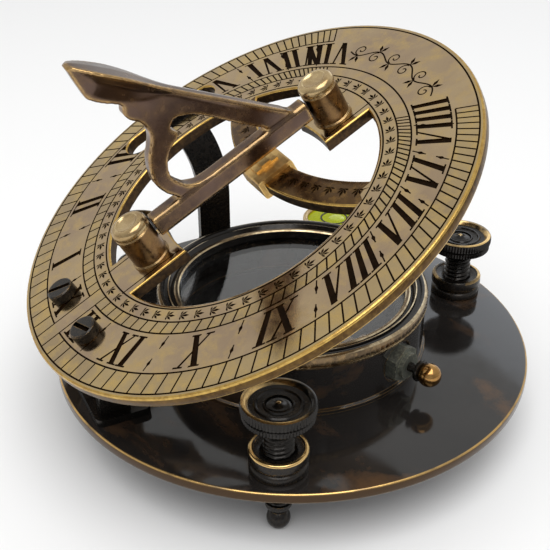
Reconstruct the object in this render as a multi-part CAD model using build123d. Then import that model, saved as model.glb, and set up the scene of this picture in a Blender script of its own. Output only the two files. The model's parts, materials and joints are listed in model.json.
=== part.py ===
from build123d import *
import math
import os

# Folding brass sundial-compass. Millimetres.
# Frame: origin at the centre of the base plate's underside, +Z up.
# +Y runs along the meridian from the dial's hinge (the XII side) to the raised far side,
# and +X is on the right of a person who stands at the hinge and looks along +Y.

# ---- base plate and levelling screws ----
PLATE_R = 51.0
PLATE_T = 2.2
FOOT_CIRCLE_R = 43.5
FOOT_ANGLES = {"front": -30.0, "rear": 90.0, "left": 210.0}
BOSS_R = 5.65
BOSS_H = 4.8
BOSS_SPIGOT_R = 4.4
THREAD_R = 3.0
WHEEL_R = 7.0
WHEEL_Z0 = 13.6
WHEEL_T = 3.8
WHEEL_SOCKET_R = 2.5
FOOT_BOTTOM_Z = -12.3
FOOT_BALL_R = 2.3
FOOT_BALL_Z = -10.2
FOOT_TOP_Z = -5.7
FOOT_PIN_R = 1.2
RUN = 0.05                      # radial running clearance

# ---- compass box ----
BOX_R = 28.6
BOX_WALL = 1.8
BOX_FLOOR_T = 1.8
BOX_TOP_Z = 13.2
LEDGE_Z = 11.0
LEDGE_R = 26.0
GLASS_R = 25.4
GLASS_Z0 = 12.0
GLASS_T = 1.4
BEZEL_R = 29.0
BEZEL_TOP_Z = 16.0
BEZEL_BORE_R = 24.2
CARD_R = 23.8
CARD_T = 0.6
NEEDLE_HALF = 17.5
NEEDLE_Z = 8.4
NEEDLE_T = 0.5
BASE_SCREW_CIRCLE_R = 20.0

# ---- needle lock ----
LOCK_AZ = 22.0
LOCK_Z = 8.5
BUSH_AF = 7.0
PLUNGER_R = 1.0
BALL_R = 2.4
BALL_AT = 35.9
LEVER_PIVOT_X = -10.0

# ---- bull's-eye level ----
LEVEL_AZ = 137.0
LEVEL_AT = 37.4
CUP_R = 7.7
CUP_BORE_R = 6.5
CUP_H = 11.0

# ---- hinge of the dial ----
TILT = 29.2                     # stored tilt of the dial, degrees
PIN_Y = -44.0
PIN_Z = PLATE_T + 5.0
PIN_R = 1.2
KNUCKLE_R = 3.0
ARM_HALF = 7.8
LUG_W = 3.0
SIDE_GAP = 0.3
FLANGE_T = 1.6
HINGE_SCREW_X = 5.6
HINGE_SCREW_Y = PIN_Y + 4.6
SCREW_HOLE_R = 1.1
CLOSED_FACE_Z = 20.57           # height of the dial face when the dial lies flat

# ---- dial ring, in its own frame: origin at the ring's centre on its face ----
RING_R = 49.9
RING_T = 2.4
OPEN_R = 29.6
TAB_HALF = 5.8
TAB_SOUTH_Y = -15.8
TAB_NORTH_Y = 18.3
WEB_CENTRE_Y = 52.0
WEB_R_FAR = 48.2
WEB_R_NEAR = 42.0
SLOT_X = -39.4
SLOT_W = 7.0
SLOT_Y = (-11.4, 13.0)
RING_SCREW_X = 7.8
RING_SCREW_Y = -40.0
RING_SCREW_HOLE_R = 1.5
LEAF_T = 1.6

# ---- gnomon and its posts, in the ring's frame ----
POST_R = 3.7
POST_H = 9.4
POST_SOUTH_Y = -21.6
POST_NORTH_Y = 23.8
BAR_AXIS_Z = 5.0
BAR_HALF_X = 1.8
BAR_HALF_Z = 2.2
JOURNAL_R = 1.3
GNOMON_HALF_T = 1.5
STYLE_TIP = (-13.6, 41.2)
STYLE_ROOT = (17.8, 6.2)
LEAF_LEN = 22.0                 # leaf-shaped top of the style, from its tip down the style
LEAF_HALF = 4.1
LEAF_WIDEST_AT = 8.0
LEAF_END_HALF = 1.2
LEAF_THICK = 1.5

# ---- latitude arc ----
ARC_X = -39.0
ARC_T = 1.6
ARC_CENTRE = (-36.0, PLATE_T + 17.0)
ARC_R_IN = 30.4
ARC_R_OUT = 38.2
ARC_END_DEG = 44.0
ARC_RIVET_Y = (-4.2, 0.8)
ARC_RIVET_Z = PLATE_T + 5.0
ARC_RIVET_R = 0.75
BRACKET_T = 1.4


def rod(radius, z0, z1):
    """Upright cylinder on the Z axis from z0 to z1."""
    return Pos(0, 0, (z0 + z1) / 2) * Cylinder(radius, z1 - z0)


def tube(r_out, r_in, z0, z1):
    return rod(r_out, z0, z1) - rod(r_in, z0 - 1, z1 + 1)


def block(x0, x1, y0, y1, z0, z1):
    """Box between the given planes."""
    size = Box(x1 - x0, y1 - y0, z1 - z0)
    return Pos((x0 + x1) / 2, (y0 + y1) / 2, (z0 + z1) / 2) * size


def rod_x(radius, x0, x1, y=0.0, z=0.0):
    """Cylinder along X from x0 to x1."""
    return Pos((x0 + x1) / 2, y, z) * Rot(0, 90, 0) * Cylinder(radius, x1 - x0)


def turned(points):
    """Solid of revolution about Z from an outline of (radius, z) points."""
    outline = Polyline(*[(r, 0, z) for r, z in points], close=True)
    return revolve(make_face(outline), Axis.Z)


def around(radius, angle_deg):
    """Placement on a circle about Z, turned so that local +X points outwards."""
    return Rot(0, 0, angle_deg) * Pos(radius, 0, 0)


def dial_place():
    """Placement of the ring's frame, tilted about the hinge pin."""
    return Pos(0, PIN_Y, PIN_Z) * Rot(TILT, 0, 0) * Pos(0, -PIN_Y, CLOSED_FACE_Z - PIN_Z)


def slotted_screw(head_r, head_h, shank_r, shank_len, slot_w):
    """Cheese-head screw: head on z = 0 and up, shank down."""
    head = rod(head_r, 0, head_h)
    head = chamfer(head.edges().group_by(Axis.Z)[-1], 0.25)
    slot = block(-head_r - 1, head_r + 1, -slot_w / 2, slot_w / 2, head_h * 0.45, head_h + 1)
    return head + rod(shank_r, -shank_len, 0) - slot


def countersunk_screw():
    """Screw driven from under the plate, its head flush with z = 0."""
    head = turned([(0, 0), (2.6, 0), (1.3, 1.3), (0, 1.3)])
    slot = block(-3, 3, -0.3, 0.3, -1, 0.5)
    return head + rod(1.2, 1.3, PLATE_T + 1.5) - slot


def base_screw_places():
    places = [around(BASE_SCREW_CIRCLE_R, a) for a in (67.0, 187.0, 307.0)]
    return places + [around(LEVEL_AT, LEVEL_AZ)]


# ------------------------------------------------------------------ base
def base_plate():
    plate = rod(PLATE_R, 0, PLATE_T)
    plate = fillet(plate.edges(), 0.45)
    for angle in FOOT_ANGLES.values():
        plate -= around(FOOT_CIRCLE_R, angle) * rod(BOSS_SPIGOT_R, -1, PLATE_T + 1)
    for place in base_screw_places():
        plate -= place * turned([(0, -0.1), (2.8, -0.1), (1.35, 1.35), (1.35, 9), (0, 9)])
    for x, y in hinge_screw_spots() + arc_screw_spots():
        plate -= Pos(x, y, 0) * rod(SCREW_HOLE_R, 0.6, PLATE_T + 1)
    return plate


def screw_boss():
    body = turned([
        (THREAD_R + RUN, 0), (BOSS_SPIGOT_R, 0), (BOSS_SPIGOT_R, PLATE_T),
        (BOSS_R - 0.5, PLATE_T), (BOSS_R - 0.35, PLATE_T + 1.5), (BOSS_R - 0.8, PLATE_T + 1.9),
        (BOSS_R - 0.8, PLATE_T + 2.2), (BOSS_R - 0.1, PLATE_T + 2.5), (BOSS_R, PLATE_T + 2.9),
        (BOSS_R, PLATE_T + BOSS_H - 0.2), (BOSS_R - 0.25, PLATE_T + BOSS_H),
        (BOSS_R - 0.9, PLATE_T + BOSS_H - 0.35), (THREAD_R + RUN, PLATE_T + BOSS_H - 0.35)])
    return body


def levelling_spindle():
    top = WHEEL_Z0 + WHEEL_T
    return turned([
        (0, FOOT_TOP_Z - 3.4), (FOOT_PIN_R, FOOT_TOP_Z - 3.4), (FOOT_PIN_R, FOOT_TOP_Z + 0.3),
        (2.4, FOOT_TOP_Z + 0.3), (THREAD_R, FOOT_TOP_Z + 0.9), (THREAD_R, WHEEL_Z0),
        (WHEEL_SOCKET_R, WHEEL_Z0), (WHEEL_SOCKET_R, top - 1.5), (1.9, top - 1.3), (0, top - 0.1)])


def thumb_wheel():
    z0 = WHEEL_Z0
    top = z0 + WHEEL_T
    mid = z0 + WHEEL_T * 0.46
    return turned([
        (WHEEL_SOCKET_R, z0), (WHEEL_R - 1.0, z0), (WHEEL_R - 0.35, z0 + 0.5),
        (WHEEL_R - 0.2, mid - 0.25), (WHEEL_R - 0.75, mid), (WHEEL_R, mid + 0.25),
        (WHEEL_R, top - 0.3), (WHEEL_R - 0.3, top), (WHEEL_R - 0.9, top), (WHEEL_R - 1.4, top - 0.7),
        (4.3, top - 0.9), (4.0, top - 1.3), (WHEEL_SOCKET_R, top - 1.4)])


def swivel_foot():
    ball = Pos(0, 0, FOOT_BALL_Z) * Sphere(FOOT_BALL_R)
    ball -= block(-5, 5, -5, 5, FOOT_BOTTOM_Z - 5, FOOT_BOTTOM_Z)
    neck = turned([(0, FOOT_BALL_Z), (1.9, FOOT_BALL_Z), (1.95, FOOT_TOP_Z - 2.3),
                   (2.6, FOOT_TOP_Z - 0.8), (2.6, FOOT_TOP_Z), (0, FOOT_TOP_Z)])
    return ball + neck - rod(FOOT_PIN_R + RUN, FOOT_TOP_Z - 3.6, FOOT_TOP_Z + 1)


# ------------------------------------------------------------------ compass
def lock_place():
    """Frame of the needle lock: local +X points out of the box along the plunger."""
    return Rot(0, 0, LOCK_AZ) * Pos(0, 0, LOCK_Z)


def compass_box():
    floor_z = PLATE_T + BOX_FLOOR_T
    box = turned([
        (0, PLATE_T), (BOX_R + 0.5, PLATE_T), (BOX_R + 0.5, PLATE_T + 0.8), (BOX_R, PLATE_T + 1.1),
        (BOX_R, BOX_TOP_Z), (BOX_R - BOX_WALL, BOX_TOP_Z), (BOX_R - BOX_WALL, LEDGE_Z),
        (LEDGE_R, LEDGE_Z), (LEDGE_R, floor_z), (0, floor_z)])
    box -= lock_place() * rod_x(2.0, LEDGE_R - 2, BOX_R + 2)
    box -= lock_place() * rod_x(4.4, BOX_R - 0.7, BOX_R + 3)
    for place in base_screw_places()[:3]:
        box -= place * rod(1.25, PLATE_T - 1, PLATE_T + 1.55)
    return box


def seat_ring():
    return tube(BOX_R - BOX_WALL - 0.1, BEZEL_BORE_R, LEDGE_Z, GLASS_Z0)


def glass():
    pane = rod(GLASS_R, GLASS_Z0, GLASS_Z0 + GLASS_T)
    return chamfer(pane.edges(), 0.15)


def bezel():
    z1 = BEZEL_TOP_Z
    skirt_r = BOX_R - BOX_WALL - RUN
    lip_z = GLASS_Z0 + GLASS_T
    return turned([
        (GLASS_R + 0.3, GLASS_Z0), (skirt_r, GLASS_Z0), (skirt_r, BOX_TOP_Z), (BEZEL_R - 0.2, BOX_TOP_Z),
        (BEZEL_R, BOX_TOP_Z + 0.3), (BEZEL_R, z1 - 0.35), (BEZEL_R - 0.35, z1), (BEZEL_R - 1.5, z1),
        (BEZEL_R - 1.8, z1 - 0.5), (BEZEL_R - 2.2, z1 - 0.5), (BEZEL_R - 2.5, z1 - 0.15),
        (BEZEL_BORE_R + 1.1, z1 - 1.1), (BEZEL_BORE_R + 1.0, z1 - 0.7), (BEZEL_BORE_R + 0.3, z1 - 0.7),
        (BEZEL_BORE_R, z1 - 1.0), (BEZEL_BORE_R, lip_z), (GLASS_R + 0.3, lip_z)])


def compass_card():
    z0 = PLATE_T + BOX_FLOOR_T
    return tube(CARD_R, 1.6, z0, z0 + CARD_T)


def needle_pivot():
    z0 = PLATE_T + BOX_FLOOR_T
    return turned([(0, z0), (1.5, z0), (1.5, z0 + 1.0), (0.45, z0 + 1.3),
                   (0.35, NEEDLE_Z), (0, NEEDLE_Z + 1.2)])


def needle():
    half_w = 2.3
    outline = Polyline((-NEEDLE_HALF, 0), (0, -half_w), (NEEDLE_HALF, 0), (0, half_w), close=True)
    blade = extrude(make_face(outline), NEEDLE_T)
    return Rot(0, 0, 90) * Pos(0, 0, NEEDLE_Z) * blade - rod(1.3, 0, 20)


def needle_cap():
    z0 = NEEDLE_Z - 0.5
    return turned([(0.7, z0), (1.9, z0), (1.9, NEEDLE_Z), (1.3, NEEDLE_Z), (1.3, NEEDLE_Z + 0.9),
                   (0.8, NEEDLE_Z + 2.2), (0, NEEDLE_Z + 2.2), (0, NEEDLE_Z + 1.3), (0.55, NEEDLE_Z)])


def lock_bush():
    hexagon = RegularPolygon(BUSH_AF / 2, 6, major_radius=False)
    nut = Rot(0, 90, 0) * extrude(hexagon, 2.4)
    nut = Pos(BOX_R - 0.7, 0, 0) * nut
    collar = rod_x(2.7, BOX_R + 1.7, BOX_R + 2.7)
    spigot = rod_x(2.0, LEDGE_R, BOX_R)
    bore = rod_x(PLUNGER_R + RUN, LEDGE_R - 2, BOX_R + 5)
    return lock_place() * (nut + collar + spigot - bore)


def lock_plunger():
    nose_at = 23.0
    nose = turned([(0, nose_at), (0.05, nose_at), (PLUNGER_R, nose_at + 1.6), (PLUNGER_R, BALL_AT - 0.4),
                   (0, BALL_AT - 0.4)])
    return lock_place() * Rot(0, 90, 0) * nose


def ball_knob():
    ball = Pos(BALL_AT, 0, 0) * Sphere(BALL_R)
    neck = rod_x(1.5, BALL_AT - BALL_R - 0.25, BALL_AT - 1.6)
    return lock_place() * (ball + neck - rod_x(PLUNGER_R, BALL_AT - 6, BALL_AT - 0.4))


def lifter_lever():
    """Strip that lifts the needle: hinged beyond the centre, its tail over the plunger's nose."""
    z0 = LOCK_Z - 1.9
    tail_x = 22.6
    strip = block(LEVER_PIVOT_X, tail_x - 3.6, -1.1, 1.1, z0, z0 + 0.5)
    tail = block(tail_x - 4.0, tail_x - 3.6, -1.1, 1.1, z0, LOCK_Z + 0.7)
    finger = block(tail_x - 4.0, tail_x, -1.1, 1.1, LOCK_Z + 0.2, LOCK_Z + 0.7)
    eye = tube(2.3, 1.2, z0, z0 + 0.5)
    knuckle = Pos(LEVER_PIVOT_X, 0, z0) * Rot(90, 0, 0) * Cylinder(0.9, 2.2)
    pin_hole = Pos(LEVER_PIVOT_X, 0, z0) * Rot(90, 0, 0) * Cylinder(0.5 + RUN, 9)
    lever = strip - rod(1.2, 0, 20) + eye + tail + finger + knuckle - pin_hole
    return Rot(0, 0, LOCK_AZ) * lever


def lifter_stand():
    """Two-eared stand and pin that carry the lifter lever."""
    z0 = PLATE_T + BOX_FLOOR_T + CARD_T
    pin_z = LOCK_Z - 1.9
    stand = block(-1.3, 1.3, -2.5, 2.5, z0, z0 + 0.5)
    for side in (-1, 1):
        stand += Pos(0, side * 2.0, 0) * block(-1.0, 1.0, -0.5, 0.5, z0, pin_z + 0.9)
    stand += Pos(0, 0, pin_z) * Rot(90, 0, 0) * Cylinder(0.5, 5.0)
    return Rot(0, 0, LOCK_AZ) * Pos(LEVER_PIVOT_X, 0, 0) * stand


# ------------------------------------------------------------------ level
def level_cup():
    z0 = PLATE_T
    cup = turned([(0, z0), (CUP_R - 0.4, z0), (CUP_R, z0 + 0.6), (CUP_R, z0 + CUP_H - 0.4),
                  (CUP_R - 0.4, z0 + CUP_H), (CUP_BORE_R, z0 + CUP_H), (CUP_BORE_R, z0 + 3), (0, z0 + 3)])
    return around(LEVEL_AT, LEVEL_AZ) * (cup - rod(1.25, z0 - 1, z0 + 1.55))


def level_bubble():
    z_top = PLATE_T + CUP_H - 1.2
    bubble = Pos(0, 0, z_top) * scale(Sphere(2.2), by=(1, 1, 0.45))
    bubble -= block(-9, 9, -9, 9, z_top, z_top + 9)
    return around(LEVEL_AT, LEVEL_AZ) * Pos(0.7, -0.5, 0) * bubble


def level_fluid():
    z0 = PLATE_T + 3
    fluid = around(LEVEL_AT, LEVEL_AZ) * rod(CUP_BORE_R, z0, PLATE_T + CUP_H - 1.2)
    return fluid - level_bubble()


def level_window():
    z0 = PLATE_T + CUP_H - 1.2
    return around(LEVEL_AT, LEVEL_AZ) * rod(CUP_BORE_R, z0, z0 + 0.9)


# ------------------------------------------------------------------ dial hinge
def hinge_screw_spots():
    return [(-HINGE_SCREW_X, HINGE_SCREW_Y), (HINGE_SCREW_X, HINGE_SCREW_Y)]


def hinge_base():
    z0 = PLATE_T
    flange = block(-13, 13, PIN_Y - 4.3, PIN_Y + 6.8, z0, z0 + FLANGE_T)
    flange = fillet(flange.edges().filter_by(Axis.Z), 1.5)
    part = flange
    for side in (-1, 1):
        centre_x = side * (ARM_HALF + SIDE_GAP + LUG_W / 2)
        lug = rod_x(KNUCKLE_R, -LUG_W / 2, LUG_W / 2, PIN_Y, PIN_Z)
        lug += block(-LUG_W / 2, LUG_W / 2, PIN_Y - KNUCKLE_R, PIN_Y + KNUCKLE_R, z0, PIN_Z)
        part += Pos(centre_x, 0, 0) * lug
    part -= rod_x(PIN_R, -20, 20, PIN_Y, PIN_Z)
    for x, y in hinge_screw_spots():
        part -= Pos(x, y, 0) * rod(SCREW_HOLE_R, 0, 9)
    return part


def hinge_screws():
    screw = slotted_screw(1.7, 1.3, 1.05, 2.9, 0.6)
    return [Pos(x, y, PLATE_T + FLANGE_T) * screw for x, y in hinge_screw_spots()]


def hinge_pin():
    half = ARM_HALF + SIDE_GAP + LUG_W + 0.7
    pin = rod_x(PIN_R, -half, half, PIN_Y, PIN_Z)
    return chamfer(pin.edges().filter_by(GeomType.CIRCLE), 0.3)


def hinge_arm():
    """Leaf screwed under the ring, with the neck that carries the middle knuckle."""
    pin_z = PIN_Z - CLOSED_FACE_Z
    leaf = block(-11.5, 11.5, PIN_Y - 2.5, PIN_Y + 8.5, -RING_T - LEAF_T, -RING_T)
    leaf = fillet(leaf.edges().filter_by(Axis.Z), 2.0)
    neck = block(-ARM_HALF, ARM_HALF, PIN_Y - 2.0, PIN_Y + 2.0, pin_z, -RING_T - LEAF_T)
    arm = leaf + neck + rod_x(KNUCKLE_R, -ARM_HALF, ARM_HALF, PIN_Y, pin_z)
    arm -= rod_x(PIN_R + RUN, -20, 20, PIN_Y, pin_z)
    for side in (-1, 1):
        arm -= Pos(side * RING_SCREW_X, RING_SCREW_Y, 0) * rod(RING_SCREW_HOLE_R, -9, 1)
    return dial_place() * arm


# ------------------------------------------------------------------ dial ring
def ring_openings():
    """Plan shape of the hole through the ring: a disc less the two tabs and the crescent web."""
    hole = Circle(OPEN_R)
    south = Pos(0, TAB_SOUTH_Y - 10) * Rectangle(2 * TAB_HALF, 20)
    north = Pos(0, TAB_NORTH_Y + 10) * Rectangle(2 * TAB_HALF, 20)
    web = Pos(0, WEB_CENTRE_Y) * (Circle(WEB_R_FAR) - Circle(WEB_R_NEAR))
    return hole - south - north - web


def slot_shape():
    y0, y1 = SLOT_Y
    return Pos(SLOT_X, (y0 + y1) / 2) * Rot(0, 0, 90) * SlotOverall(y1 - y0, SLOT_W)


def dial_ring():
    ring = rod(RING_R, -RING_T, 0)
    ring = chamfer(ring.edges().group_by(Axis.Z)[-1], 0.5)
    ring -= Pos(0, 0, -RING_T - 1) * extrude(ring_openings(), RING_T + 2)
    ring -= Pos(0, 0, -RING_T - 1) * extrude(slot_shape(), RING_T + 2)
    for side in (-1, 1):
        ring -= Pos(side * RING_SCREW_X, RING_SCREW_Y, 0) * rod(RING_SCREW_HOLE_R, -9, 1)
    for y in (POST_SOUTH_Y, POST_NORTH_Y):
        ring -= Pos(0, y, 0) * rod(1.3, -9, 1)
    return dial_place() * ring


def ring_screws():
    screw = slotted_screw(2.75, 2.4, 1.45, RING_T + LEAF_T - 0.2, 0.9)
    return [dial_place() * Pos(side * RING_SCREW_X, RING_SCREW_Y, 0) * Rot(0, 0, 35) * screw
            for side in (-1, 1)]


def post(y, journal_side):
    """Pillar with a dished dome that carries one end of the gnomon's bar."""
    h = POST_H
    pillar = turned([(0, 0), (POST_R, 0), (POST_R, h - 1.2), (POST_R - 0.35, h - 0.5), (POST_R - 1.1, h),
                     (POST_R - 1.7, h), (POST_R - 2.0, h - 0.25), (0, h - 0.25)])
    pillar -= rod(1.25, -1, 2.4)
    hole = Pos(0, journal_side * POST_R, BAR_AXIS_Z) * Rot(90, 0, 0) * Cylinder(JOURNAL_R + RUN, 2 * 3.0)
    return dial_place() * Pos(0, y, 0) * (pillar - hole)


def post_screws():
    """Screws that hold the two pillars from under the tabs."""
    screw = rod(1.2, -RING_T, 2.2) + rod(2.2, -RING_T - 1.2, -RING_T)
    screw -= block(-3, 3, -0.3, 0.3, -RING_T - 2, -RING_T - 0.6)
    return [dial_place() * Pos(0, y, 0) * screw for y in (POST_SOUTH_Y, POST_NORTH_Y)]


# ------------------------------------------------------------------ gnomon
def gnomon_outline():
    """Profile of the scrolled style in the meridian plane, as (along the dial, above the face)."""
    bar_top = BAR_AXIS_Z + BAR_HALF_Z - 0.2
    style = Line(STYLE_ROOT, STYLE_TIP)
    beak = Spline(STYLE_TIP, (-13.3, 37.6), (-13.7, 34.3))
    leaf = Spline((-13.7, 34.3), (-11.6, 31.8), (-9.4, 29.8))
    bead = Spline((-9.4, 29.8), (-10.0, 28.3), (-9.4, 26.2), (-8.1, 24.4))
    scroll = Spline((-8.1, 24.4), (-8.4, 20.9), (-11.9, 16.9), (-12.8, 13.4), (-12.2, 10.2), (-10.2, bar_top))
    foot = Polyline((-10.2, bar_top), (-10.2, BAR_AXIS_Z), (STYLE_ROOT[0] + 1.0, BAR_AXIS_Z), STYLE_ROOT)
    return make_face(Wire([style, beak, leaf, bead, scroll, *foot.edges()]))


def gnomon_window():
    """Open loop between the style and the scroll."""
    bar_top = BAR_AXIS_Z + BAR_HALF_Z + 0.2
    limb = Line((11.4, bar_top), (1.0, 19.0))
    crook = Spline((1.0, 19.0), (-2.6, 21.6), (-4.4, 20.2), (-3.6, 18.4))
    loop = Spline((-3.6, 18.4), (-7.7, 16.2), (-9.4, 12.6), (-8.1, 8.9), (-5.5, bar_top))
    sill = Line((-5.5, bar_top), (11.4, bar_top))
    return make_face(Wire([limb, crook, loop, sill]))


def style_leaf():
    """Leaf-shaped widening of the style's upper edge, below the edge line."""
    run_y = STYLE_ROOT[0] - STYLE_TIP[0]
    rise_z = STYLE_TIP[1] - STYLE_ROOT[1]
    slope = math.degrees(math.atan2(rise_z, run_y))
    corners = [(0, LEAF_END_HALF), (LEAF_LEN, LEAF_END_HALF), (LEAF_LEN, -LEAF_END_HALF), (0, -LEAF_END_HALF)]
    edge = Spline(corners[0], (LEAF_WIDEST_AT, LEAF_HALF), corners[1])
    back = Spline(corners[2], (LEAF_WIDEST_AT, -LEAF_HALF), corners[3])
    outline = Wire([edge, Line(corners[1], corners[2]), back, Line(corners[3], corners[0])])
    lens = extrude(make_face(outline), -LEAF_THICK)
    return Pos(0, STYLE_TIP[0], STYLE_TIP[1]) * Rot(-slope, 0, 0) * Rot(0, 0, 90) * lens


def gnomon():
    blade = Plane.YZ * (gnomon_outline() - gnomon_window())
    plate = extrude(blade, GNOMON_HALF_T, both=True)
    bar_south = POST_SOUTH_Y + POST_R + SIDE_GAP
    bar_north = POST_NORTH_Y - POST_R - SIDE_GAP
    bar = block(-BAR_HALF_X, BAR_HALF_X, bar_south, bar_north,
                BAR_AXIS_Z - BAR_HALF_Z, BAR_AXIS_Z + BAR_HALF_Z)
    journal = Pos(0, (bar_south + bar_north) / 2, BAR_AXIS_Z) * Rot(90, 0, 0)
    journal *= Cylinder(JOURNAL_R, bar_north - bar_south + 5.4)
    return dial_place() * (plate + bar + journal + style_leaf())


def web_clip():
    """Folded brass saddle wrapped over the crescent web at the meridian."""
    y0 = WEB_CENTRE_Y - WEB_R_FAR - 0.9
    y1 = WEB_CENTRE_Y - WEB_R_NEAR + 1.1
    saddle = block(-4.6, 4.6, y0, y1, -RING_T - 0.9, 0.9)
    saddle = fillet(saddle.edges().filter_by(Axis.X), 0.6)
    web = Pos(0, WEB_CENTRE_Y, -RING_T) * extrude(Circle(WEB_R_FAR) - Circle(WEB_R_NEAR), RING_T)
    return dial_place() * (saddle - web)


def detent_spring():
    """Leaf spring on the saddle whose raised end steadies the gnomon's bar."""
    y0 = WEB_CENTRE_Y - WEB_R_FAR + 0.6
    y1 = WEB_CENTRE_Y - WEB_R_NEAR - 0.4
    seat = block(-1.6, 1.6, y0, y1, 0.9, 1.35)
    hump = block(-1.6, 1.6, y0 + 1.5, y1 - 1.5, 1.35, 1.8)
    return dial_place() * (seat + hump)


# ------------------------------------------------------------------ latitude arc
def arc_screw_spots():
    return [(-33.6, -5.2), (-33.6, 1.8)]


def latitude_arc():
    cy, cz = ARC_CENTRE
    straight = Pos(cy + (ARC_R_IN + ARC_R_OUT) / 2, (PLATE_T + 0.2 + cz) / 2) * Rectangle(
        ARC_R_OUT - ARC_R_IN, cz - PLATE_T - 0.2)
    sector = Circle(ARC_R_OUT) - Circle(ARC_R_IN)
    corner = ARC_R_OUT * 2
    end = math.radians(ARC_END_DEG)
    wedge = make_face(Polyline((0, 0), (corner, 0), (corner * math.cos(end), corner * math.sin(end)),
                               close=True))
    strip = straight + Pos(cy, cz) * (sector & wedge)
    arc = Pos(ARC_X, 0, 0) * extrude(Plane.YZ * strip, ARC_T / 2, both=True)
    for y in ARC_RIVET_Y:
        arc -= rod_x(ARC_RIVET_R + RUN, ARC_X - 2, ARC_X + 2, y, ARC_RIVET_Z)
    return arc


def arc_bracket():
    """Angle bracket between the base plate and the foot of the latitude arc."""
    x0 = ARC_X + ARC_T / 2
    bracket = block(x0, x0 + BRACKET_T, -6.3, 2.9, PLATE_T, PLATE_T + 7.5)
    bracket += block(x0, x0 + 7.6, -8.0, 4.6, PLATE_T, PLATE_T + BRACKET_T)
    for x, y in arc_screw_spots():
        bracket -= Pos(x, y, 0) * rod(SCREW_HOLE_R, 0, 9)
    for y in ARC_RIVET_Y:
        bracket -= rod_x(ARC_RIVET_R + RUN, x0 - 2, x0 + 4, y, ARC_RIVET_Z)
    return bracket


def arc_rivets():
    head_t = 0.7
    x0 = ARC_X - ARC_T / 2 - head_t
    x1 = ARC_X + ARC_T / 2 + BRACKET_T + head_t
    rivets = []
    for y in ARC_RIVET_Y:
        rivet = rod_x(ARC_RIVET_R, x0, x1, y, ARC_RIVET_Z)
        for head_x in (x0, x1 - head_t):
            rivet += rod_x(1.4, head_x, head_x + head_t, y, ARC_RIVET_Z)
        rivets.append(rivet)
    return rivets


def arc_screws():
    screw = slotted_screw(1.9, 1.2, 1.05, 2.7, 0.5)
    return [Pos(x, y, PLATE_T + BRACKET_T) * screw for x, y in arc_screw_spots()]


def all_nodes():
    nodes = {
        "base_plate": base_plate(),
        "base_screws": [place * countersunk_screw() for place in base_screw_places()],
        "compass_box": compass_box(),
        "seat_ring": seat_ring(),
        "compass_glass": glass(),
        "bezel": bezel(),
        "compass_card": compass_card(),
        "needle_pivot": needle_pivot(),
        "needle": needle(),
        "needle_cap": needle_cap(),
        "lock_bush": lock_bush(),
        "lock_plunger": lock_plunger(),
        "ball_knob": ball_knob(),
        "lifter_lever": lifter_lever(),
        "lifter_stand": lifter_stand(),
        "level_cup": level_cup(),
        "level_fluid": level_fluid(),
        "level_bubble": level_bubble(),
        "level_window": level_window(),
        "hinge_base": hinge_base(),
        "hinge_screws": hinge_screws(),
        "hinge_pin": hinge_pin(),
        "hinge_arm": hinge_arm(),
        "dial_ring": dial_ring(),
        "ring_screws": ring_screws(),
        "post_south": post(POST_SOUTH_Y, 1),
        "post_north": post(POST_NORTH_Y, -1),
        "post_screws": post_screws(),
        "gnomon": gnomon(),
        "web_clip": web_clip(),
        "detent_spring": detent_spring(),
        "latitude_arc": latitude_arc(),
        "arc_bracket": arc_bracket(),
        "arc_rivets": arc_rivets(),
        "arc_screws": arc_screws(),
    }
    for name, angle in FOOT_ANGLES.items():
        place = around(FOOT_CIRCLE_R, angle)
        nodes[f"screw_boss_{name}"] = place * screw_boss()
        nodes[f"spindle_{name}"] = place * levelling_spindle()
        nodes[f"thumb_wheel_{name}"] = place * thumb_wheel()
        nodes[f"foot_{name}"] = place * swivel_foot()
    return nodes


os.makedirs("parts", exist_ok=True)
for node_name, shape in all_nodes().items():
    if isinstance(shape, list):
        shape = Compound(children=shape)
    export_step(shape, f"parts/{node_name}.step")
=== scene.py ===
"""Looks of the folding brass sundial-compass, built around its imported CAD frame.

Shapes are worked out in millimetres and placed in the row frame in metres. The dial and what stands on it use
the ring's own frame: origin at the ring's centre on its face, +y uphill along the meridian, +z off the face.
"""

import json
import math

import bmesh
import bpy
from mathutils import Matrix, Vector
from mathutils.geometry import delaunay_2d_cdt


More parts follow.
